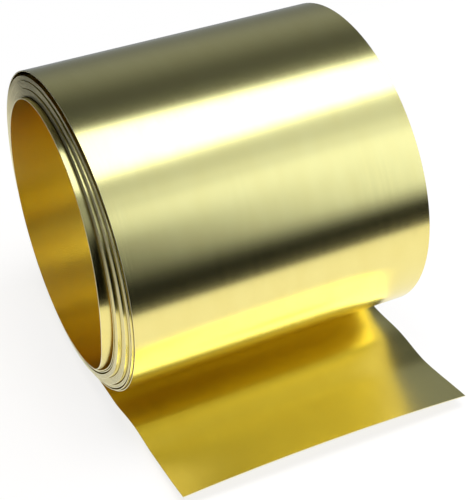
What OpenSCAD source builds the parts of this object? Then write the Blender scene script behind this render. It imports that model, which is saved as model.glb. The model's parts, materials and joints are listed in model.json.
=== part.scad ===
// Roll of thin rolled brass strip, wound on no core, with its outer end run out on the floor.
// The origin is on the coil's axis at mid-width. +Y runs along the axis to the even end, the tail
// runs out along +X, and the floor is the horizontal plane one outer radius below the axis.

/* [Strip] */
// Width of the strip, edge to edge
strip_w = 100; // [20:1:300]
// Thickness of the strip
strip_t = 0.3; // [0.1:0.05:0.6]

/* [Coil] */
// Radius of the open bore, to the inner face of the first turn
bore_r = 44.4; // [20:0.1:150]
// Number of turns
turns = 18; // [4:1:30]
// Air gap between two turns that lie close together
turn_gap = 0.11; // [0.05:0.01:1]
// Air gap outside the first turn, which stands loose in the bore
first_gap = 0.9; // [0.1:0.05:3]
// Air gap inside the outermost turn, which has sprung open
outer_gap = 0.55; // [0.1:0.05:3]

/* [Turned ends] */
// How far the turns have slid along the axis, from the outermost one to the second
telescope = 3.8; // [0:0.1:8]
// How sharply the slide grows towards the bore, 1 for an even cone
telescope_power = 1.6; // [1:0.1:4]
// How far the first turn has slid out past the second, on the side of the tail
first_slide = 2.6; // [0:0.1:5]
// How much less it has slid on the other side, which slants its near edge
first_lean = 2.6; // [0:0.1:3]
// Depth of the open gap between two neighbouring turns, at both ends
gap_depth = 1.5; // [0.5:0.1:4]

/* [Tail] */
// Length of the tail that lies flat, from the line under the coil's axis
flat_length = 25; // [8:1:100]
// Length of the tail past the flat, measured along the strip's middle
curl_length = 53; // [20:1:120]
// Radius of the coil set that lifts the free end
curl_r = 315; // [120:5:600]
// Height of the low wave in the strip, where it leaves the floor
wave_height = 1.5; // [0:0.1:3]
// How far the near edge is lifted, and the far edge lowered, half way along the curl
twist_height = 1.1; // [0:0.1:5]
// How far the middle of the free end stands over its two corners
arch_height = 1.9; // [0:0.1:6]
// How far the tail has drifted along the axis, off the near end, since the outermost turn
tail_drift = 1.6; // [0:0.1:5]
// How much further it has drifted by its free end
tail_skew = 2.4; // [0:0.1:5]
// How much longer the far edge is than the near one, where the end is cut off aslant
cut_slant = 1.6; // [0:0.1:5]

/* [Hidden] */
$fn = 240;
last = turns - 1;
// The outermost turn's outer face, which is also the height of the axis above the floor
outer_r = turn_inner_r(last) + strip_t;
// The length of the whole tail, from the line under the axis
tail_length = flat_length + curl_length;
// Steps that the curl is drawn with, along the strip and across it
curl_steps = 20;
cross_steps = 8;
// Share of the curl's length that the low wave takes up
wave_share = 0.6;

// Air gap between turn i and the next one out, with the turns counted from the bore
function gap_after(i) = i == 0 ? first_gap : i == last - 1 ? outer_gap : turn_gap;

// Radius of the inner face of turn i
function turn_inner_r(i) = i == 0 ? bore_r : turn_inner_r(i - 1) + strip_t + gap_after(i - 1);

// How far turn i has slid along the axis, out of the near end and into the far end
function slide(i) =
    i == 0
        ? first_slide + slide(1)
        : telescope * pow((last - i) / (last - 1), telescope_power);

// Height of the near and far edges of turn i along the axis
function near_edge(i) = -strip_w / 2 - slide(i);
function far_edge(i) = strip_w / 2 - slide(i);

// One end's edge of turn i as two points, at its inner and outer face
function edge_points(i, at) = [[turn_inner_r(i), at], [turn_inner_r(i) + strip_t, at]];

// The floor of the gap outside turn i, between its outer face and the next turn's inner face
function gap_points(i, at) = [[turn_inner_r(i) + strip_t, at], [turn_inner_r(i + 1), at]];

// Half section of the coil: every turn stands out as a thin lip, with a gap on each side of it
module coil_section() {
    near = [
        for (i = [0 : last])
            each i < last
                ? concat(edge_points(i, near_edge(i)), gap_points(i, near_edge(i + 1) + gap_depth))
                : edge_points(i, near_edge(i))
    ];
    far = [
        for (i = [0 : last])
            each i < last
                ? concat(edge_points(i, far_edge(i)), gap_points(i, far_edge(i) - gap_depth))
                : edge_points(i, far_edge(i))
    ];
    polygon(concat(near, [for (i = [len(far) - 1 : -1 : 0]) far[i]]));
}

// What is cut from the first turn's near end, to slant its edge: all that lies past a leaning plane,
// out to the middle of the gap that surrounds the first turn
module first_turn_slant() {
    rim = turn_inner_r(0) + strip_t;
    reach = 3 * outer_r;
    intersection() {
        rotate([90, 0, 0])
            cylinder(r = rim + first_gap / 2, h = strip_w + reach);
        translate([rim, near_edge(0), 0])
            rotate([0, 0, -atan(first_lean / (2 * rim))])
                translate([-reach, -reach, -reach])
                    cube([2 * reach, reach, 2 * reach]);
    }
}

// The wound turns as one turned body, its axis laid along Y
module coil() {
    difference() {
        rotate([-90, 0, 0])
            rotate_extrude()
                coil_section();
        if (first_lean > 0) first_turn_slant();
    }
}

// The angle that the curl has turned through at a share q of its length, in degrees, on the line a
// share v across the strip, from -0.5 at its near edge to 0.5 at its far one
function curl_angle(q, v) = q * (curl_length + cut_slant * v) / curl_r * 180 / PI;

// How far the tail has drifted along the axis at a distance x from the line under it
function drift(x) = tail_drift + tail_skew * pow(x / tail_length, 2);

// A smooth hump over a share q from 0 to 1, with level ends
function hump(q) = pow(sin(180 * min(1, q)), 2);

// Height of the tail's underside over the floor: the coil set, the low wave, the twist and the arch,
// and nowhere below the floor
function rise(q, v) =
    max(
        0,
        curl_r * (1 - cos(curl_angle(q, v)))
            + wave_height * hump(q / wave_share)
            - twist_height * 2 * v * hump(q)
            + arch_height * (1 - 4 * v * v) * pow(q, 3)
    );

// A point of the tail past the flat, up above the strip's underside
function curl_point(q, v, up) =
    let (a = curl_angle(q, v), x = flat_length + (curl_r - up) * sin(a))
    [x, v * strip_w + drift(x), rise(q, v) + up * cos(a)];

// One row of points across the strip: row 0 is the root under the axis, and the rest are the curl
function tail_row(i, up) = [
    for (j = [0 : cross_steps])
        let (v = j / cross_steps - 0.5)
        i == 0 ? [0, v * strip_w + drift(0), up] : curl_point((i - 1) / curl_steps, v, up)
];

// The four corners of a patch as two triangles
function patch(a, b, c, d) = [[a, b, c], [a, c, d]];

// The tail: flat from the coil's lowest line, then lifted by the coil set, waved, twisted and arched.
// Its points are the rows of the underside, then those of the upper side.
module tail() {
    rows = curl_steps + 1;
    per_row = cross_steps + 1;
    top = (rows + 1) * per_row;
    points = [for (up = [0, strip_t]) for (i = [0 : rows]) each tail_row(i, up)];
    sides = [
        for (i = [0 : rows - 1])
            let (a = i * per_row, b = a + per_row, c = a + cross_steps, d = b + cross_steps)
            each concat(patch(a, a + top, b + top, b), patch(c, d, d + top, c + top))
    ];
    faces = [
        for (i = [0 : rows - 1], j = [0 : cross_steps - 1])
            let (a = i * per_row + j, b = a + per_row)
            each concat(patch(a, b, b + 1, a + 1), patch(a + top, a + 1 + top, b + 1 + top, b + top))
    ];
    ends = [
        for (j = [0 : cross_steps - 1])
            let (a = j, b = rows * per_row + j)
            each concat(patch(a, a + 1, a + 1 + top, a + top), patch(b, b + top, b + 1 + top, b + 1))
    ];
    translate([0, 0, -outer_r])
        polyhedron(points, concat(faces, sides, ends));
}

module brass_strip() {
    color("#DCC978")
        union() {
            coil();
            tail();
        }
}

brass_strip();
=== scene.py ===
"""Looks of a roll of thin rolled brass strip, lying on a pale floor with its outer end run out.

The roll is one length of strip, so it is one mesh: a thin section carried along one path, from the
loose inner end, round the turns of the coil and out along the tail. The finish is bright
cold-rolled brass, with paler slit edges. Lengths are in metres, in the frame of the CAD model: +Y
runs along the coil's axis, +X the way the tail runs out, and the floor lies one outer radius below
the origin.
"""

import json
import logging
import math
from dataclasses import dataclass, field
from enum import Enum
from functools import partial
from typing import Any

import bpy
import numpy as np
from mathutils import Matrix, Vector


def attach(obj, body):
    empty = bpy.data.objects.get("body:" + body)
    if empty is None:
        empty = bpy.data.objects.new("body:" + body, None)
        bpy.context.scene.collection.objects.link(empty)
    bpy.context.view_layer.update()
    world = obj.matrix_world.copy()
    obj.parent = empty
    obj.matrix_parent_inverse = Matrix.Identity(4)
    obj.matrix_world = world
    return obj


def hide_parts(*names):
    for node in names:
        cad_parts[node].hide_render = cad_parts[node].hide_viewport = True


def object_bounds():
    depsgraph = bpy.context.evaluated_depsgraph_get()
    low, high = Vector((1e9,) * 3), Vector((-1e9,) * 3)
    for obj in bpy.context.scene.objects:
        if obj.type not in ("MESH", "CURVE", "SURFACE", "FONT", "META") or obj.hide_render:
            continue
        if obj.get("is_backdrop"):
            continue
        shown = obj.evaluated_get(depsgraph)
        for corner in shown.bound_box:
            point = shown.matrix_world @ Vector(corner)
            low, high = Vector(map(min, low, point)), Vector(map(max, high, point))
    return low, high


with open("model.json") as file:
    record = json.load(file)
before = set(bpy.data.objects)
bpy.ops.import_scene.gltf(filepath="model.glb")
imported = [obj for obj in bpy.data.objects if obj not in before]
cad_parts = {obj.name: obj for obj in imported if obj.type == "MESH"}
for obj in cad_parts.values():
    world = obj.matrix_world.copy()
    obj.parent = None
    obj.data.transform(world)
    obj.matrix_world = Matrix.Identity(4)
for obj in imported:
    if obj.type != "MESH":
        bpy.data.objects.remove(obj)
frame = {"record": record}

log = logging.getLogger("roll_of_strip")

NODE = "brass_strip"
BODY = "root"
STRIP_MAP = "strip_mm"
MM = 0.001
STRIP_THICKNESS = 0.3 * MM
# Points of the strip's section at each edge, between those of its two faces
EDGE_POINTS = 2
# Angles round the coil's axis, in degrees
FULL_TURN = 360.0
HALF_TURN = 180.0
STRAIGHT_DOWN = 270.0
WHITE = "#FFFFFF"
FRAME_PIXELS_HIGH = 500
SENSOR_MM = 36.0


class Edge(Enum):
    """The two slit edges of the strip, with the share of its width at which each lies."""

    NEAR = -0.5
    FAR = 0.5


class Part(Enum):
    """The two kinds of surface on the strip, with the index of the material that each wears."""

    FACE = 0
    EDGE = 1


def linear(hex_colour: str) -> tuple[float, float, float, float]:
    """Turns an sRGB colour into linear light.

    Args:
        hex_colour: The colour as "#RRGGBB".

    Returns:
        Red, green, blue and an alpha of 1.
    """
    srgb = np.array([int(hex_colour[i : i + 2], 16) / 255 for i in (1, 3, 5)])
    light = np.where(srgb <= 0.04045, srgb / 12.92, ((srgb + 0.055) / 1.055) ** 2.4)
    return (*(float(c) for c in light), 1.0)


def ease(x: np.ndarray) -> np.ndarray:
    """Goes smoothly from 0 to 1 as x does, by 3x^2 - 2x^3, and stays there outside."""
    t = np.clip(x, 0.0, 1.0)
    return t * t * (3.0 - 2.0 * t)


def add_node(
    tree: bpy.types.NodeTree, kind: str, inputs: dict[Any, Any], **settings: Any
) -> bpy.types.Node:
    """Adds one node to a tree.

    Args:
        tree: The node tree.
        kind: The node's type name.
        inputs: For each socket, by name or number, a value or the output socket to link to it.
        settings: Properties of the node itself.

    Returns:
        The new node.
    """
    node = tree.nodes.new(kind)
    for name, value in settings.items():
        setattr(node, name, value)
    for socket, value in inputs.items():
        if isinstance(value, bpy.types.NodeSocket):
            tree.links.new(value, node.inputs[socket])
        else:
            node.inputs[socket].default_value = value
    return node


def new_material(name: str) -> tuple[bpy.types.Material, bpy.types.NodeTree]:
    """Makes a node material with nothing in it.

    Args:
        name: Its name.

    Returns:
        The material and its node tree.
    """
    material = bpy.data.materials.new(name)
    material.use_nodes = True
    material.node_tree.nodes.clear()
    return material, material.node_tree


def add_surface(tree: bpy.types.NodeTree, shader: bpy.types.NodeSocket) -> None:
    """Makes a shader the surface of its material."""
    add_node(tree, "ShaderNodeOutputMaterial", {"Surface": shader})


def add_maths(tree: bpy.types.NodeTree, operation: str, *values: Any) -> bpy.types.NodeSocket:
    """Adds one step of arithmetic on sockets or numbers.

    Args:
        tree: The node tree.
        operation: What is done with the values.
        values: Its values, in order.

    Returns:
        The output socket.
    """
    inputs = dict(enumerate(values))
    return add_node(tree, "ShaderNodeMath", inputs, operation=operation).outputs[0]


def add_range(
    tree: bpy.types.NodeTree,
    value: bpy.types.NodeSocket,
    between: tuple[Any, Any],
    result: tuple[Any, Any],
    kind: str = "LINEAR",
) -> bpy.types.NodeSocket:
    """Adds a change from one result to another, as a value goes from one bound to the other.

    Args:
        tree: The node tree.
        value: The value.
        between: Its two bounds.
        result: The results at the bounds and past them.
        kind: How the result goes in between.

    Returns:
        The output socket.
    """
    inputs = {
        "Value": value,
        "From Min": between[0],
        "From Max": between[1],
        "To Min": result[0],
        "To Max": result[1],
    }
    return add_node(tree, "ShaderNodeMapRange", inputs, interpolation_type=kind).outputs["Result"]


def add_strip_map(tree: bpy.types.NodeTree) -> bpy.types.NodeSocket:
    """Adds the strip's own map, in millimetres along and across, and returns its socket."""
    return add_node(tree, "ShaderNodeUVMap", {}, uv_map=STRIP_MAP).outputs["UV"]


def add_noise(
    tree: bpy.types.NodeTree,
    strip: bpy.types.NodeSocket,
    size_mm: tuple[float, float],
    detail: float,
) -> bpy.types.NodeSocket:
    """Adds noise whose features have a given size on the strip.

    Args:
        tree: The material's node tree.
        strip: The strip's own map.
        size_mm: Size of a feature along the strip and across it.
        detail: How many finer layers the noise has.

    Returns:
        The output socket, from 0 to 1.
    """
    scale = (1.0 / size_mm[0], 1.0 / size_mm[1], 1.0)
    scaled = add_node(tree, "ShaderNodeMapping", {"Vector": strip, "Scale": scale})
    inputs = {"Vector": scaled.outputs["Vector"], "Scale": 1.0, "Detail": detail}
    return add_node(tree, "ShaderNodeTexNoise", inputs).outputs["Fac"]


def add_stage(
    name: str,
    points: np.ndarray,
    faces: np.ndarray,
    material: bpy.types.Material,
    hidden: tuple[str, ...] = (),
) -> None:
    """Adds a piece of the stage, which isn't a part of the roll.

    Args:
        name: Its name.
        points: Its points.
        faces: Its quads.
        material: What it is covered with.
        hidden: The kinds of ray that pass through it.
    """
    mesh = bpy.data.meshes.new(name)
    mesh.from_pydata(points.tolist(), [], faces.tolist())
    mesh.materials.append(material)
    made = bpy.data.objects.new(name, mesh)
    for ray in hidden:
        setattr(made, "visible_" + ray, False)
    bpy.context.scene.collection.objects.link(made)
    made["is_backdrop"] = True
    log.info("%s: stage", name)


@dataclass(frozen=True)
class Swell:
    """A smooth rise and fall of some quantity along the winding.

    Its value is height * exp(-(d / reach)^2), where d is the winding angle past its middle, with
    one reach on the side of the bore and another on the side of the tail.

    Attributes:
        turn: The turn that it lies on, counted from the bore, where the first is 1.
        clock: The angle of its middle round the axis, in degrees from +X towards +Z.
        height: Its value in the middle.
        before: Its reach towards the bore, in degrees.
        after: Its reach towards the tail, in degrees.
    """

    turn: int
    clock: float
    height: float
    before: float
    after: float

    def along(self, phi: np.ndarray) -> np.ndarray:
        """Works out its value along the strip.

        Args:
            phi: Winding angles, in degrees.

        Returns:
            The value at each of them.
        """
        past = phi - self.clock - FULL_TURN * (self.turn - 1)
        reach = np.where(past < 0.0, self.before, self.after)
        return self.height * np.exp(-((past / reach) ** 2))


@dataclass(frozen=True)
class Step:
    """A smooth step along the winding, from its height towards the bore to 0 towards the tail.

    Its value is height * (1 - ease(d / reach + 0.5)), where d is the winding angle past its middle.

    Attributes:
        turn: The turn that its middle lies on.
        clock: The angle of its middle round the axis, in degrees.
        height: Its height.
        reach: The winding angle that it takes, in degrees.
    """

    turn: int
    clock: float
    height: float
    reach: float = 70.0

    def along(self, phi: np.ndarray) -> np.ndarray:
        """Returns its value at each winding angle phi, in degrees."""
        past = phi - self.clock - FULL_TURN * (self.turn - 1)
        return self.height * (1.0 - ease(past / self.reach + 0.5))


@dataclass(frozen=True)
class StripStock:
    """The strip itself, before it is wound.

    Attributes:
        width: Width between its slit edges.
        thickness: Thickness of the sheet.
        corner: Size of the small chamfers that slitting leaves on its edges.
        spans: Faces across its width.
    """

    width: float
    thickness: float
    corner: float = 0.05 * MM
    spans: int = 12

    def section(self) -> tuple[np.ndarray, np.ndarray]:
        """Gives the closed section as a ring of points.

        The ring goes along the outer face from the near edge to the far one, over the far edge's
        two corners, back along the inner face and over the near edge's corners. Its points lie
        closer together towards the edges, as a sine does.

        Returns:
            The share of the width at each point, from -0.5 to 0.5, and its height over the middle
            of the sheet, positive on the outer face.
        """
        half = self.thickness / 2
        inset = 0.5 - self.corner / self.width
        across = inset * np.sin(np.linspace(-0.5 * np.pi, 0.5 * np.pi, self.spans + 1))
        shoulder = half - self.corner
        share = np.concatenate([across, [0.5, 0.5], across[::-1], [-0.5, -0.5]])
        over = np.concatenate([np.full_like(across, half), [shoulder, -shoulder]])
        return share, np.concatenate([over, -over])


@dataclass(frozen=True)
class CoilWinding:
    """The wound turns, from the loose inner end to the lowest line, where the tail begins.

    The winding angle phi, in degrees, goes on from turn to turn, and its remainder is the angle
    round the axis from +X towards +Z. The turns lie close together, apart from the loose places.

    Attributes:
        stock: The strip that is wound.
        bore_radius: Radius of the first turn's inner face.
        outer_radius: Radius of the outermost turn's outer face.
        turns: Number of turns.
        inner_end: Winding angle of the strip's inner end.
        step: Winding angle from one station to the next.
        loose: Where a turn stands off the next one out, as swells of the air gap.
        cone: How far the turns have slid along -Y evenly, from the outermost to the first.
        groups: Where turns have slid out together, as steps.
        cone_lean: Share by which the slide is larger on one side of the coil than on average.
        cone_side: The side on which it is largest, as an angle round the axis.
        slid: Where the first turn has slid out further, as swells.
        flare: How far the first turn's near edge bends in towards the axis, as a swell.
        edge_roll: How far the near edges of all inner turns bend in, where they do so the most.
        edge_side: Where they do so, as an angle round the axis.
        edge_turns: How many turns in from the tail that bend begins, to be full one turn further.
        flare_share: Share of the strip's width that bends.
        near_lean: How the near rim leans along Y, for a point along +X and one along +Z.
        far_lean: The same for the far rim.
        far_taper: How much smaller the far rim's radius is.
        far_shift: How far the far rim's centre lies along +X and +Z.
    """

    stock: StripStock
    bore_radius: float
    outer_radius: float
    turns: int = 18
    inner_end: float = -48.0
    step: float = 3.0
    loose: tuple[Swell, ...] = (
        Swell(1, -22.0, 1.25 * MM, 16.0, 95.0),
        Swell(2, 10.0, 0.3 * MM, 60.0, 60.0),
        Swell(3, -55.0, 0.55 * MM, 25.0, 30.0),
        Swell(13, -50.0, 0.25 * MM, 12.0, 14.0),
        Swell(16, -48.0, 0.3 * MM, 14.0, 16.0),
        Swell(7, 30.0, 0.3 * MM, 80.0, 80.0),
        Swell(13, 30.0, 0.3 * MM, 80.0, 80.0),
        Swell(17, 90.0, 1.9 * MM, 60.0, 45.0),
    )
    cone: float = 0.5 * MM
    groups: tuple[Step, ...] = (
        Step(7, 225.0, 0.75 * MM),
        Step(13, 225.0, 0.6 * MM),
        Step(17, 225.0, 0.45 * MM),
    )
    cone_lean: float = 0.7
    cone_side: float = -30.0
    slid: tuple[Swell, ...] = (
        Swell(1, -5.0, 2.3 * MM, 60.0, 200.0),
        Swell(1, -5.0, 0.9 * MM, 25.0, 40.0),
    )
    flare: Swell = Swell(1, 12.0, 0.6 * MM, 80.0, 32.0)
    edge_roll: float = 0.4 * MM
    edge_side: float = -8.0
    edge_turns: float = 1.4
    flare_share: float = 0.065
    near_lean: tuple[float, float] = (0.42 * MM, -0.80 * MM)
    far_lean: tuple[float, float] = (1.45 * MM, -1.40 * MM)
    far_taper: float = 0.77 * MM
    far_shift: tuple[float, float] = (0.99 * MM, -0.51 * MM)

    @property
    def outer_end(self) -> float:
        """Winding angle of the lowest line of the outermost turn, where the tail begins."""
        return STRAIGHT_DOWN + FULL_TURN * (self.turns - 1)

    def stations(self) -> np.ndarray:
        """Winding angles from the inner end to the tail, in equal steps."""
        count = round((self.outer_end - self.inner_end) / self.step)
        return np.linspace(self.inner_end, self.outer_end, count + 1)

    def radii(self) -> np.ndarray:
        """Works out the radius of the sheet's middle at each station.

        Each turn lies one thickness and one air gap inside the next one out:
        r(phi) = r(phi + 360) - thickness - gap(phi). The angles are counted back from the tail and
        laid out in rows of one turn, so that the radii are a running sum down the rows. The gap is
        the loose swells, and what the wall has left over, shared evenly by all the gaps.

        Returns:
            The radii, in the order of the stations.
        """
        phi = self.stations()
        per_turn = round(FULL_TURN / self.step)
        steps_back = np.arange(self.turns * per_turn).reshape(self.turns, per_turn)
        back = self.outer_end - self.step * steps_back
        gaps = sum(swell.along(back) for swell in self.loose)
        gaps[0] = 0.0
        t = self.stock.thickness
        wall = self.outer_radius - self.bore_radius - t
        spare = (wall - (self.turns - 1) * t - gaps.sum(axis=0)) / (self.turns - 1)
        steps = gaps + t + spare
        steps[0] = 0.0
        # The outermost turn starts one step further in, and climbs out beside the inner end
        climb = ease((self.inner_end - back[-1]) / (self.inner_end - back[-1, -1]))
        outermost = self.outer_radius - t / 2 - steps[1, 0] * climb
        return (outermost - np.cumsum(steps, axis=0)).ravel()[: phi.size][::-1]

    def slide(self, phi: np.ndarray) -> np.ndarray:
        """Works out how far the turn has slid along -Y.

        Args:
            phi: Winding angles.

        Returns:
            The slide: (cone * depth + groups) * (1 + lean * cos(phi - side)), where depth grows
            from 0 at the tail to 1 on the first turn, and the swells of the first turn.
        """
        depth = (self.outer_end - phi) / (FULL_TURN * (self.turns - 1))
        lean = 1.0 + self.cone_lean * np.cos(np.radians(phi - self.cone_side))
        stepped = self.cone * depth + sum(step.along(phi) for step in self.groups)
        return stepped * lean + sum(swell.along(phi) for swell in self.slid)

    def edge_line(self, phi: np.ndarray, edge: Edge) -> np.ndarray:
        """Works out where one edge of the strip lies along Y.

        It is the edge's share of the width, less the slide, and
        lean_x * cos(phi) + lean_z * sin(phi) for its rim.

        Args:
            phi: Winding angles.
            edge: Which edge.

        Returns:
            Its place along Y at each angle.
        """
        along_x, along_z = self.near_lean if edge is Edge.NEAR else self.far_lean
        angle = np.radians(phi)
        lean = along_x * np.cos(angle) + along_z * np.sin(angle)
        return edge.value * self.stock.width - self.slide(phi) + lean

    def middle(self, share: np.ndarray) -> np.ndarray:
        """Works out the middle surface of the sheet on a grid.

        A point is (r cos phi + shift_x, y, r sin phi + shift_z), where r shrinks by the taper and
        the shift grows from the near edge to the far one. By the near edge, r also shrinks by the
        first turn's flare, and on the inner turns by edge_roll * max(0, cos(phi - edge_side)).

        Args:
            share: Shares of the strip's width, from -0.5 to 0.5.

        Returns:
            Points as an array of stations by shares by 3.
        """
        phi = self.stations()[:, None]
        far = share[None, :] + 0.5
        inner = ease((self.outer_end - phi) / FULL_TURN - self.edge_turns)
        facing = np.clip(np.cos(np.radians(phi - self.edge_side)), 0.0, 1.0)
        rolled = self.edge_roll * inner * facing
        bent = (self.flare.along(phi) + rolled) * np.clip(1.0 - far / self.flare_share, 0.0, 1.0)
        r = self.radii()[:, None] - self.far_taper * far - bent
        near_y, far_y = (self.edge_line(phi, edge) for edge in Edge)
        x = r * np.cos(np.radians(phi)) + self.far_shift[0] * far
        z = r * np.sin(np.radians(phi)) + self.far_shift[1] * far
        return np.stack([x, near_y + (far_y - near_y) * far, z], axis=-1)


@dataclass(frozen=True)
class RunOut:
    """The tail, run out over the floor from the coil's lowest line.

    Attributes:
        winding: The coil that it leaves.
        flat_length: Length that lies flat.
        curl_length: Length of the curled rest, along its middle.
        curl_radius: Radius of the coil set that lifts the free end.
        wave: Height of the low wave where the strip leaves the floor.
        wave_share: Share of the curl that the wave takes up.
        twist: How far the near edge is lifted, and the far one lowered, half way along the curl.
        arch: How far the middle of the free end stands over its corners.
        skew: How far it runs towards +Y for each metre along +X.
        cut_slant: How much longer the far edge is than the near one.
        steps: Faces along its length.
    """

    winding: CoilWinding
    flat_length: float = 25.0 * MM
    curl_length: float = 53.0 * MM
    curl_radius: float = 315.0 * MM
    wave: float = 1.5 * MM
    wave_share: float = 0.6
    twist: float = 1.1 * MM
    arch: float = 1.9 * MM
    skew: float = 0.037
    cut_slant: float = 1.6 * MM
    steps: int = 60

    @staticmethod
    def hump(q: np.ndarray) -> np.ndarray:
        """Rises and falls smoothly as q goes from 0 to 1, by sin^2(pi q), and is 0 past it."""
        return np.sin(np.pi * np.minimum(q, 1.0)) ** 2

    def middle(self, share: np.ndarray) -> np.ndarray:
        """Works out the middle surface of the tail's sheet on a grid.

        With v the share of the width, q the share of the curl and a = q (curl + slant v) / radius,
        a point lies at x = flat + radius sin a, and its height over the floor is
        radius (1 - cos a) + wave hump(q / wave_share) - 2 v twist hump(q) + arch (1 - 4 v^2) q^3.
        Over the flat length, the coil's own lean dies out.

        Args:
            share: Shares of the strip's width, from -0.5 to 0.5.

        Returns:
            Points as an array of stations by shares by 3, without the line where the tail begins.
        """
        s = np.linspace(0.0, self.flat_length + self.curl_length, self.steps + 1)[1:, None]
        v = share[None, :]
        q = np.clip(s - self.flat_length, 0.0, None) / self.curl_length
        angle = q * (self.curl_length + self.cut_slant * v) / self.curl_radius
        x = np.minimum(s, self.flat_length) + self.curl_radius * np.sin(angle)
        rise = (
            self.curl_radius * (1.0 - np.cos(angle))
            + self.wave * self.hump(q / self.wave_share)
            - self.twist * 2.0 * v * self.hump(q)
            + self.arch * (1.0 - 4.0 * v**2) * q**3
        )
        coil = self.winding
        left = 1.0 - ease(s / self.flat_length)
        root = np.array([coil.outer_end])
        near_y, far_y = (float(coil.edge_line(root, edge)[0]) for edge in Edge)
        width = coil.stock.width + (far_y - near_y - coil.stock.width) * left
        y = (near_y + far_y) / 2 + self.skew * x + v * width
        raised = (coil.far_taper + coil.far_shift[1]) * (v + 0.5) * left
        z = coil.stock.thickness / 2 - coil.outer_radius + np.maximum(rise, 0.0) + raised
        return np.stack(np.broadcast_arrays(x, y, z), axis=-1)


@dataclass(frozen=True)
class RolledBrass:
    """Cold-rolled brass strip, bright and hardly tarnished.

    Rolling between polished rolls leaves a mirror with fine lines along the strip, so reflections
    stay clear but soft-edged, and spread a little across the lines.

    Attributes:
        name: Name of the material.
        colour: Colour of light that brass reflects once.
        deeper: The same where the tone is a little deeper.
        cloud_mm: Size of the patches of deeper tone, along the strip and across it.
        roughness: Mean roughness of the face.
        roughness_swing: How far a rolling line's roughness can be from the mean.
        anisotropy: How much further reflections spread across the rolling lines than along them.
        spread_turn: Turn of that spread from along the strip to across it, as a share of a circle.
        line_mm: Size of a rolling line, along the strip and across it. A real one is finer.
        line_depth_mm: Depth of the rolling lines.
        wave_mm: Size of the faint waves in the sheet.
        wave_depth_mm: Depth of those waves.
    """

    name: str = "rolled_brass_face"
    colour: str = "#F7E997"
    deeper: str = "#F2E18B"
    cloud_mm: tuple[float, float] = (14.0, 6.0)
    roughness: float = 0.22
    roughness_swing: float = 0.03
    anisotropy: float = 0.65
    spread_turn: float = 0.25
    line_mm: tuple[float, float] = (90.0, 0.7)
    line_depth_mm: float = 0.0008
    wave_mm: float = 35.0
    wave_depth_mm: float = 0.05

    def material(self) -> bpy.types.Material:
        """Builds the material, with its patterns on the strip's own map."""
        material, tree = new_material(self.name)
        strip = add_strip_map(tree)
        lines = add_noise(tree, strip, self.line_mm, detail=3.0)
        waves = add_noise(tree, strip, (self.wave_mm, self.wave_mm), detail=1.0)
        clouds = add_noise(tree, strip, self.cloud_mm, detail=4.0)
        tones = {"Factor": clouds, 6: linear(self.colour), 7: linear(self.deeper)}
        tone = add_node(tree, "ShaderNodeMix", tones, data_type="RGBA").outputs[2]
        swing = (self.roughness - self.roughness_swing, self.roughness + self.roughness_swing)
        wavy = {"Height": waves, "Distance": self.wave_depth_mm * MM, "Strength": 1.0}
        bent = add_node(tree, "ShaderNodeBump", wavy).outputs["Normal"]
        lined = {"Height": lines, "Distance": self.line_depth_mm * MM, "Strength": 1.0}
        normal = add_node(tree, "ShaderNodeBump", {**lined, "Normal": bent}).outputs["Normal"]
        tangent = add_node(
            tree, "ShaderNodeTangent", {}, direction_type="UV_MAP", uv_map=STRIP_MAP
        )
        shader = add_node(
            tree,
            "ShaderNodeBsdfPrincipled",
            {
                "Base Color": tone,
                "Metallic": 1.0,
                "Roughness": add_range(tree, lines, (0.0, 1.0), swing),
                "Anisotropic": self.anisotropy,
                "Anisotropic Rotation": self.spread_turn,
                "Tangent": tangent.outputs["Tangent"],
                "Normal": normal,
            },
        )
        add_surface(tree, shader.outputs["BSDF"])
        return material


@dataclass(frozen=True)
class SlitEdge:
    """The strip's slit edges: bare brass, sheared and broken off, so pale and half dull.

    Attributes:
        name: Name of the material.
        colour: Colour of light that it reflects once.
        roughness: Mean roughness.
        roughness_swing: How far a mark's roughness can be from the mean.
        mark_mm: Size of a mark that the shear left, along the strip and across it.
    """

    name: str = "slit_edge"
    colour: str = "#F0E9BE"
    roughness: float = 0.42
    roughness_swing: float = 0.1
    mark_mm: tuple[float, float] = (1.2, 4.0)

    def material(self) -> bpy.types.Material:
        """Builds the material, with short marks of the shear across the edge."""
        material, tree = new_material(self.name)
        marks = add_noise(tree, add_strip_map(tree), self.mark_mm, detail=2.0)
        swing = (self.roughness - self.roughness_swing, self.roughness + self.roughness_swing)
        roughness = add_range(tree, marks, (0.0, 1.0), swing)
        bare = {"Base Color": linear(self.colour), "Metallic": 1.0, "Roughness": roughness}
        shader = add_node(tree, "ShaderNodeBsdfPrincipled", bare)
        add_surface(tree, shader.outputs["BSDF"])
        return material


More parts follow.
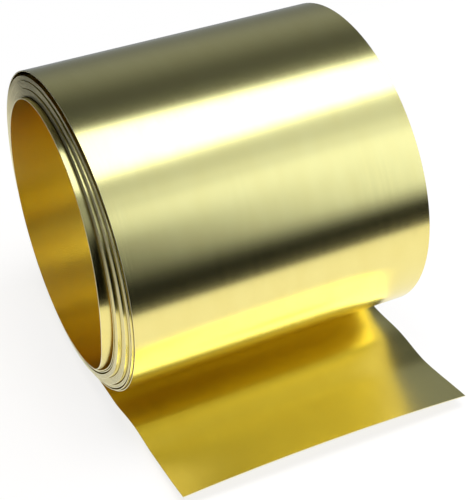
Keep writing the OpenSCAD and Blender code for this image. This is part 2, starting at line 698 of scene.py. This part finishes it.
@dataclass(frozen=True)
class RollOfStrip:
    """The whole roll: the coil and its tail as one closed sheet.

    Attributes:
        winding: The wound turns.
        run_out: The tail.
        face: Finish of both faces.
        slit: Finish of the edges and the two cut ends.
        sharp_degrees: Angle between two faces past which the line between them stays sharp.
    """

    winding: CoilWinding
    run_out: RunOut
    face: RolledBrass = field(default_factory=RolledBrass)
    slit: SlitEdge = field(default_factory=SlitEdge)
    sharp_degrees: float = 30.0

    def build(self) -> bpy.types.Object:
        """Builds the mesh by thickening the middle surface, and dresses it.

        The section's points are carried along the path: each stands over the middle surface by its
        height along the normal, which is the cross product of the steps across and along.

        Returns:
            The roll's object.
        """
        share, height = self.winding.stock.section()
        middle = np.concatenate([self.winding.middle(share), self.run_out.middle(share)])
        lanes = self.winding.stock.spans + 1
        along = np.gradient(middle, axis=0)
        across = (middle[:, lanes - 1] - middle[:, 0])[:, None, :]
        normal = np.cross(across, along)
        normal /= np.linalg.norm(normal, axis=-1, keepdims=True)
        points = middle + normal * height[None, :, None]
        stations, ring = points.shape[:2]
        quads, kinds = self.faces(stations, ring, lanes)

        mesh = bpy.data.meshes.new(NODE + "_sheet")
        mesh.from_pydata(points.reshape(-1, 3).tolist(), [], quads.tolist())
        mesh.polygons.foreach_set("material_index", kinds.astype(np.int32))
        mesh.polygons.foreach_set("use_smooth", np.ones(len(quads), bool))
        self.add_map(mesh, middle, share, height, ring)
        mesh.set_sharp_from_angle(angle=math.radians(self.sharp_degrees))
        mesh.update()
        for finish in (self.face, self.slit):
            mesh.materials.append(finish.material())
        roll = bpy.data.objects.new("wound_strip", mesh)
        bpy.context.scene.collection.objects.link(roll)
        log.info("wound_strip: %d stations, %d quads", stations, len(quads))
        return roll

    @staticmethod
    def faces(stations: int, ring: int, lanes: int) -> tuple[np.ndarray, np.ndarray]:
        """Joins each ring of points to the next one with quads, and closes both cut ends.

        Point j of ring i has the number i * ring + j. Round a ring, a quad lies on a slit edge if
        it starts at the last point of a face or at a point between the faces.

        Args:
            stations: Rings along the strip.
            ring: Points in a ring.
            lanes: Points of a ring on one face.

        Returns:
            The quads, and for each the index of its material.
        """
        i, j = np.meshgrid(np.arange(stations - 1), np.arange(ring), indexing="ij")
        here = i * ring + j
        beside = i * ring + (j + 1) % ring
        quads = np.stack([here, beside, beside + ring, here + ring], axis=-1).reshape(-1, 4)
        far_edge = (j >= lanes - 1) & (j < lanes + EDGE_POINTS)
        near_edge = j >= ring - EDGE_POINTS - 1
        kinds = np.where(far_edge | near_edge, Part.EDGE.value, Part.FACE.value).ravel()
        caps = RollOfStrip.cap_quads(lanes, ring)
        last = (stations - 1) * ring
        quads = np.concatenate([quads, caps[:, ::-1], caps + last])
        kinds = np.concatenate([kinds, np.full(2 * len(caps), Part.EDGE.value)])
        return quads, kinds

    @staticmethod
    def cap_quads(lanes: int, ring: int) -> np.ndarray:
        """Gives the quads that close a cut end, numbered within one ring.

        Most go from the outer face to the inner one. The last two take in the points at the edges.

        Args:
            lanes: Points of the ring on one face.
            ring: Points in the ring.

        Returns:
            The quads.
        """
        outer = np.arange(lanes)
        inner = ring - EDGE_POINTS - 1 - outer
        between = np.stack([outer[:-1], inner[:-1], inner[1:], outer[1:]], axis=-1)
        far = lanes + np.array([[-1, 2, 1, 0]])
        near = np.array([[0, ring - 1, ring - 2, ring - 3]])
        return np.concatenate([between[:, ::-1], far[:, ::-1], near])

    def add_map(
        self,
        mesh: bpy.types.Mesh,
        middle: np.ndarray,
        share: np.ndarray,
        height: np.ndarray,
        ring: int,
    ) -> None:
        """Adds the strip's own map: millimetres along and across, with the inner face set apart.

        Args:
            mesh: The roll's mesh.
            middle: The middle surface's points.
            share: Shares of the width round the section.
            height: Heights over the middle round the section.
            ring: Points round the section.
        """
        line = middle.mean(axis=1)
        lengths = np.linalg.norm(np.diff(line, axis=0), axis=1)
        run = np.concatenate([[0.0], np.cumsum(lengths)])
        width = self.winding.stock.width
        across = np.where(height > 0.0, share * width, 2.0 * width - share * width)
        u = np.repeat(run, ring) / MM
        v = np.tile(across, len(run)) / MM
        corners = np.zeros(len(mesh.loops), np.int32)
        mesh.loops.foreach_get("vertex_index", corners)
        layer = mesh.uv_layers.new(name=STRIP_MAP)
        on_map = np.stack([u[corners], v[corners]], axis=-1)
        layer.data.foreach_set("uv", on_map.astype(np.float32).ravel())


@dataclass(frozen=True)
class LightDome:
    """The light round the table, on a ball that the camera doesn't see.

    It depends on the direction from the roll: mostly on the angle round the coil's axis, in
    degrees, where 0 is level towards +X and 90 is straight up, and a little on the share of the
    direction that lies along Y. It has a broad softbox overhead, a pale wall on the right, and a
    dim room on the left and in front. A dark strip lies between the table's edge and the wall.

    Attributes:
        radius: Radius of the ball.
        columns: Faces round it.
        rows: Faces from its lowest point to its highest.
        room: Light of the room on the left and overhead, as angles and strengths.
        near_y: Share along Y up to which the wall has its near values.
        far_y: Share along Y from which it has its far values.
        wall_near: Light of the wall at its near end.
        wall_far: Light of the wall at its far end.
        wall_edge_near: Angle of the wall's lower edge at its near end.
        wall_edge_far: Angle of the wall's lower edge at its far end.
        wall_fade: How far to both sides of its lower edge the wall fades in.
        wall_top: Angles between which the wall fades out again.
        softbox_strength: Light of the softbox.
        softbox_middle: Angle of its middle, straight across the axis.
        softbox_lean: How much further round its middle lies, for each whole share along Y.
        softbox_half: Half the angle that it takes up, straight across the axis.
        softbox_narrowing: How much smaller that half is, for each whole share along Y.
        softbox_fade: How far to both sides of its edges it fades.
        front_level: Share of the light that is left towards the near side.
        front_start: Share along Y from which the light grows.
        front_end: Share along Y from which all of it is there.
        tint: Colour of the light.
        brightness: Factor on all of the light.
    """

    radius: float = 12.0
    columns: int = 48
    rows: int = 24
    room: tuple[tuple[float, float], ...] = (
        (-180.0, 0.2),
        (-168.0, 0.22),
        (-145.0, 0.5),
        (-90.0, 0.6),
        (-20.0, 0.01),
        (28.0, 0.01),
        (42.0, 0.48),
        (50.0, 1.12),
        (58.0, 0.79),
        (72.0, 0.78),
        (100.0, 0.5),
        (109.0, 0.16),
        (122.0, 0.09),
        (131.0, 0.1),
        (142.0, 0.18),
        (152.0, 0.25),
        (162.0, 0.28),
        (172.0, 0.24),
        (180.0, 0.2),
    )
    near_y: float = 0.27
    far_y: float = 0.44
    wall_near: float = 1.24
    wall_far: float = 1.38
    wall_edge_near: float = 32.0
    wall_edge_far: float = -4.0
    wall_fade: float = 10.5
    wall_top: tuple[float, float] = (42.0, 60.0)
    softbox_strength: float = 2.9
    softbox_middle: float = 82.7
    softbox_lean: float = 14.0
    softbox_half: float = 24.7
    softbox_narrowing: float = 24.0
    softbox_fade: float = 3.0
    front_level: float = 0.08
    front_start: float = 0.12
    front_end: float = 0.24
    tint: str = "#DAE5FF"
    brightness: float = 1.25

    def build(self) -> None:
        """Hangs the ball round the table.

        A point of it is radius * (cos e cos a, cos e sin a, sin e), for a right round and e from
        straight down to straight up.
        """
        material, tree = new_material("light_dome")
        glow = {"Color": linear(self.tint), "Strength": self.strength(tree)}
        add_surface(tree, add_node(tree, "ShaderNodeEmission", glow).outputs["Emission"])
        around = np.linspace(0.0, 2.0 * math.pi, self.columns + 1)[:-1]
        rise = np.linspace(-0.5 * math.pi, 0.5 * math.pi, self.rows + 1)[:, None]
        level = np.cos(rise)
        ball = np.stack(
            np.broadcast_arrays(level * np.cos(around), level * np.sin(around), np.sin(rise)),
            axis=-1,
        )
        i, j = np.meshgrid(np.arange(self.rows), np.arange(self.columns), indexing="ij")
        here = i * self.columns + j
        beside = i * self.columns + (j + 1) % self.columns
        above = (here + self.columns, beside + self.columns)
        faces = np.stack([here, above[0], above[1], beside], axis=-1).reshape(-1, 4)
        points = ball.reshape(-1, 3) * self.radius
        add_stage("light_dome", points, faces, material, hidden=("camera", "shadow"))

    def strength(self, tree: bpy.types.NodeTree) -> bpy.types.NodeSocket:
        """Works out the strength of the light with nodes.

        The room is read from a ramp at the angle atan2(z, x) of the direction. Where the wall is
        brighter, it takes the room's place, and its lower edge falls towards +Y. The softbox is
        added as a band that leans and narrows along Y. Towards the near side, all of it is dimmer.

        Args:
            tree: The material's node tree.

        Returns:
            The output socket.
        """
        do = partial(add_maths, tree)
        ranged = partial(add_range, tree, kind="SMOOTHSTEP")
        place = add_node(tree, "ShaderNodeTexCoord", {}).outputs["Object"]
        direction = add_node(tree, "ShaderNodeVectorMath", {0: place}, operation="NORMALIZE")
        axes = add_node(tree, "ShaderNodeSeparateXYZ", {"Vector": direction.outputs[0]})
        along = axes.outputs["Y"]
        turned = do("ARCTAN2", axes.outputs["Z"], axes.outputs["X"])
        angle = do("MULTIPLY", turned, HALF_TURN / math.pi)

        share = do("DIVIDE", do("ADD", angle, HALF_TURN), FULL_TURN)
        ramp = add_node(tree, "ShaderNodeValToRGB", {"Fac": share})
        stops = ramp.color_ramp.elements
        stops.remove(stops[1])
        stops[0].position = 0.0
        for number, (at, light) in enumerate(self.room):
            stop = stops[0] if number == 0 else stops.new((at + HALF_TURN) / FULL_TURN)
            stop.color = (light, light, light, 1.0)

        ends = (self.near_y, self.far_y)
        edge = ranged(along, ends, (self.wall_edge_near, self.wall_edge_far))
        foot = (do("SUBTRACT", edge, self.wall_fade), do("ADD", edge, self.wall_fade))
        pale = ranged(along, ends, (self.wall_near, self.wall_far))
        risen = do("MULTIPLY", ranged(angle, foot, (0.0, 1.0)), pale)
        wall = do("MULTIPLY", risen, ranged(angle, self.wall_top, (1.0, 0.0)))

        narrowing = do("MULTIPLY", do("ABSOLUTE", along), self.softbox_narrowing)
        half = do("SUBTRACT", self.softbox_half, narrowing)
        middle = do("MULTIPLY_ADD", along, self.softbox_lean, self.softbox_middle)
        inside = do("SUBTRACT", half, do("ABSOLUTE", do("SUBTRACT", angle, middle)))
        fade = (-self.softbox_fade, self.softbox_fade)
        softbox = ranged(inside, fade, (0.0, self.softbox_strength))

        whole = do("ADD", do("MAXIMUM", ramp.outputs["Color"], wall), softbox)
        front = (self.front_start, self.front_end)
        dimmed = do("MULTIPLY", whole, ranged(along, front, (self.front_level, 1.0)))
        return do("MULTIPLY", dimmed, self.brightness)


@dataclass(frozen=True)
class Studio:
    """A white table in a light dome, with a lamp overhead, and the camera.

    Attributes:
        floor_z: Height of the table.
        azimuth: Direction of the camera round the roll, in degrees.
        elevation: Its height over the horizon, in degrees.
        distance: From the camera to the point that it looks at.
        target: The point that it looks at.
        focal_pixels: Focal length in pixels of a picture 500 pixels high.
        clip: Nearest and furthest distance that the camera sees.
        table_edges: Where the table ends on the left and on the right.
        reach: Half the size of the table and of the white beyond it.
        beyond_drop: How far under the table the white beyond it lies.
        floor_colour: Colour of the table.
        table_glow: Share of plain white in what a camera or a mirror sees of the table.
        lamp_size: Angle that the lamp takes up, in degrees.
        lamp_strength: Strength of the lamp.
        bounces: How often light is followed from face to face.
        glossy_bounces: The same for light between shiny faces.
        dome: The light dome.
    """

    floor_z: float
    azimuth: float = 63.85
    elevation: float = 40.04
    distance: float = 503.07 * MM
    target: tuple[float, float, float] = (9.92 * MM, 4.52 * MM, -19.75 * MM)
    focal_pixels: float = 1511.4
    clip: tuple[float, float] = (0.01, 50.0)
    table_edges: tuple[float, float] = (-0.15, 0.16)
    reach: float = 3.0
    beyond_drop: float = 0.5 * MM
    floor_colour: str = "#FAF2E6"
    table_glow: float = 0.8
    lamp_size: float = 30.0
    lamp_strength: float = 2.3
    bounces: int = 16
    glossy_bounces: int = 14
    dome: LightDome = field(default_factory=LightDome)

    def camera(self) -> None:
        """Creates the camera and makes it the scene's own."""
        a = math.radians(self.azimuth)
        e = math.radians(self.elevation)
        back = Vector((math.sin(a) * math.cos(e), -math.cos(a) * math.cos(e), math.sin(e)))
        data = bpy.data.cameras.new("camera")
        data.sensor_width = SENSOR_MM
        data.lens = self.focal_pixels * SENSOR_MM / FRAME_PIXELS_HIGH
        data.clip_start, data.clip_end = self.clip
        camera = bpy.data.objects.new("camera", data)
        camera.location = Vector(self.target) + back * self.distance
        camera.rotation_mode = "QUATERNION"
        camera.rotation_quaternion = (-back).to_track_quat("-Z", "Y")
        bpy.context.scene.collection.objects.link(camera)
        bpy.context.scene.camera = camera
        log.info("camera: lens %.1f mm", data.lens)

    def table(self) -> None:
        """Lays the table that the roll rests on and, for the camera alone, the white beyond it."""
        material, tree = new_material("white_table")
        path = add_node(tree, "ShaderNodeLightPath", {})
        seen = path.outputs["Is Camera Ray"]
        for kind in ("Is Glossy Ray", "Is Transmission Ray"):
            seen = add_maths(tree, "ADD", seen, path.outputs[kind])
        share = add_maths(tree, "MULTIPLY", seen, self.table_glow)
        paper = add_node(tree, "ShaderNodeBsdfDiffuse", {"Color": linear(self.floor_colour)})
        parts = {"Fac": share, 1: paper.outputs["BSDF"], 2: self.plain_white(tree)}
        add_surface(tree, add_node(tree, "ShaderNodeMixShader", parts).outputs["Shader"])
        unit = np.array([(-1.0, -1.0, 0.0), (1.0, -1.0, 0.0), (1.0, 1.0, 0.0), (-1.0, 1.0, 0.0)])
        face = np.array([(0, 1, 2, 3)])
        beyond = unit * self.reach + (0.0, 0.0, self.floor_z)
        top = beyond.copy()
        top[:, 0] = np.take(self.table_edges, (0, 1, 1, 0))
        add_stage("table", top, face, material)
        material, tree = new_material("white_beyond")
        add_surface(tree, self.plain_white(tree))
        unseen = ("diffuse", "glossy", "transmission", "volume_scatter", "shadow")
        lowered = beyond - (0.0, 0.0, self.beyond_drop)
        add_stage("beyond_table", lowered, face, material, hidden=unseen)

    @staticmethod
    def plain_white(tree: bpy.types.NodeTree) -> bpy.types.NodeSocket:
        """Adds a white that needs no light, and returns its socket."""
        white = {"Color": linear(WHITE), "Strength": 1.0}
        return add_node(tree, "ShaderNodeEmission", white).outputs["Emission"]

    def lamp(self) -> None:
        """Hangs a soft sun overhead, which lights the table and doesn't show in the metal."""
        data = bpy.data.lights.new("lamp", "SUN")
        data.energy = self.lamp_strength
        data.angle = math.radians(self.lamp_size)
        lamp = bpy.data.objects.new("lamp", data)
        lamp.visible_glossy = False
        bpy.context.scene.collection.objects.link(lamp)
        log.info("lamp: strength %.1f", data.energy)

    def world(self) -> None:
        """Sets the plain white that the camera sees beyond the table."""
        world = bpy.data.worlds.new("white")
        world.use_nodes = True
        world.node_tree.nodes["Background"].inputs["Color"].default_value = linear(WHITE)
        bpy.context.scene.world = world

    def build(self) -> None:
        """Sets up the camera, the table, the light and the plain view transform.

        Light goes many times to and fro between the tail and the coil, so it is followed further
        than by default.
        """
        self.camera()
        self.table()
        self.dome.build()
        self.lamp()
        self.world()
        scene = bpy.context.scene
        scene.cycles.max_bounces = self.bounces
        scene.cycles.glossy_bounces = self.glossy_bounces
        scene.view_settings.view_transform = "Standard"


def main() -> None:
    """Builds the roll from the frame's sizes, then the studio round it."""
    logging.basicConfig(level=logging.INFO)
    cad_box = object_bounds()
    bore = next(m for m in frame["record"]["mounts"] if m["name"] == "core_bore")["dims"]
    stock = StripStock(width=bore["length_mm"] * MM, thickness=STRIP_THICKNESS)
    winding = CoilWinding(stock=stock, bore_radius=bore["r_mm"] * MM, outer_radius=-cad_box[0].z)
    roll = RollOfStrip(winding=winding, run_out=RunOut(winding=winding)).build()
    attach(roll, BODY)
    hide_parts(NODE)
    Studio(floor_z=cad_box[0].z).build()


if __name__ == "__main__":
    main()
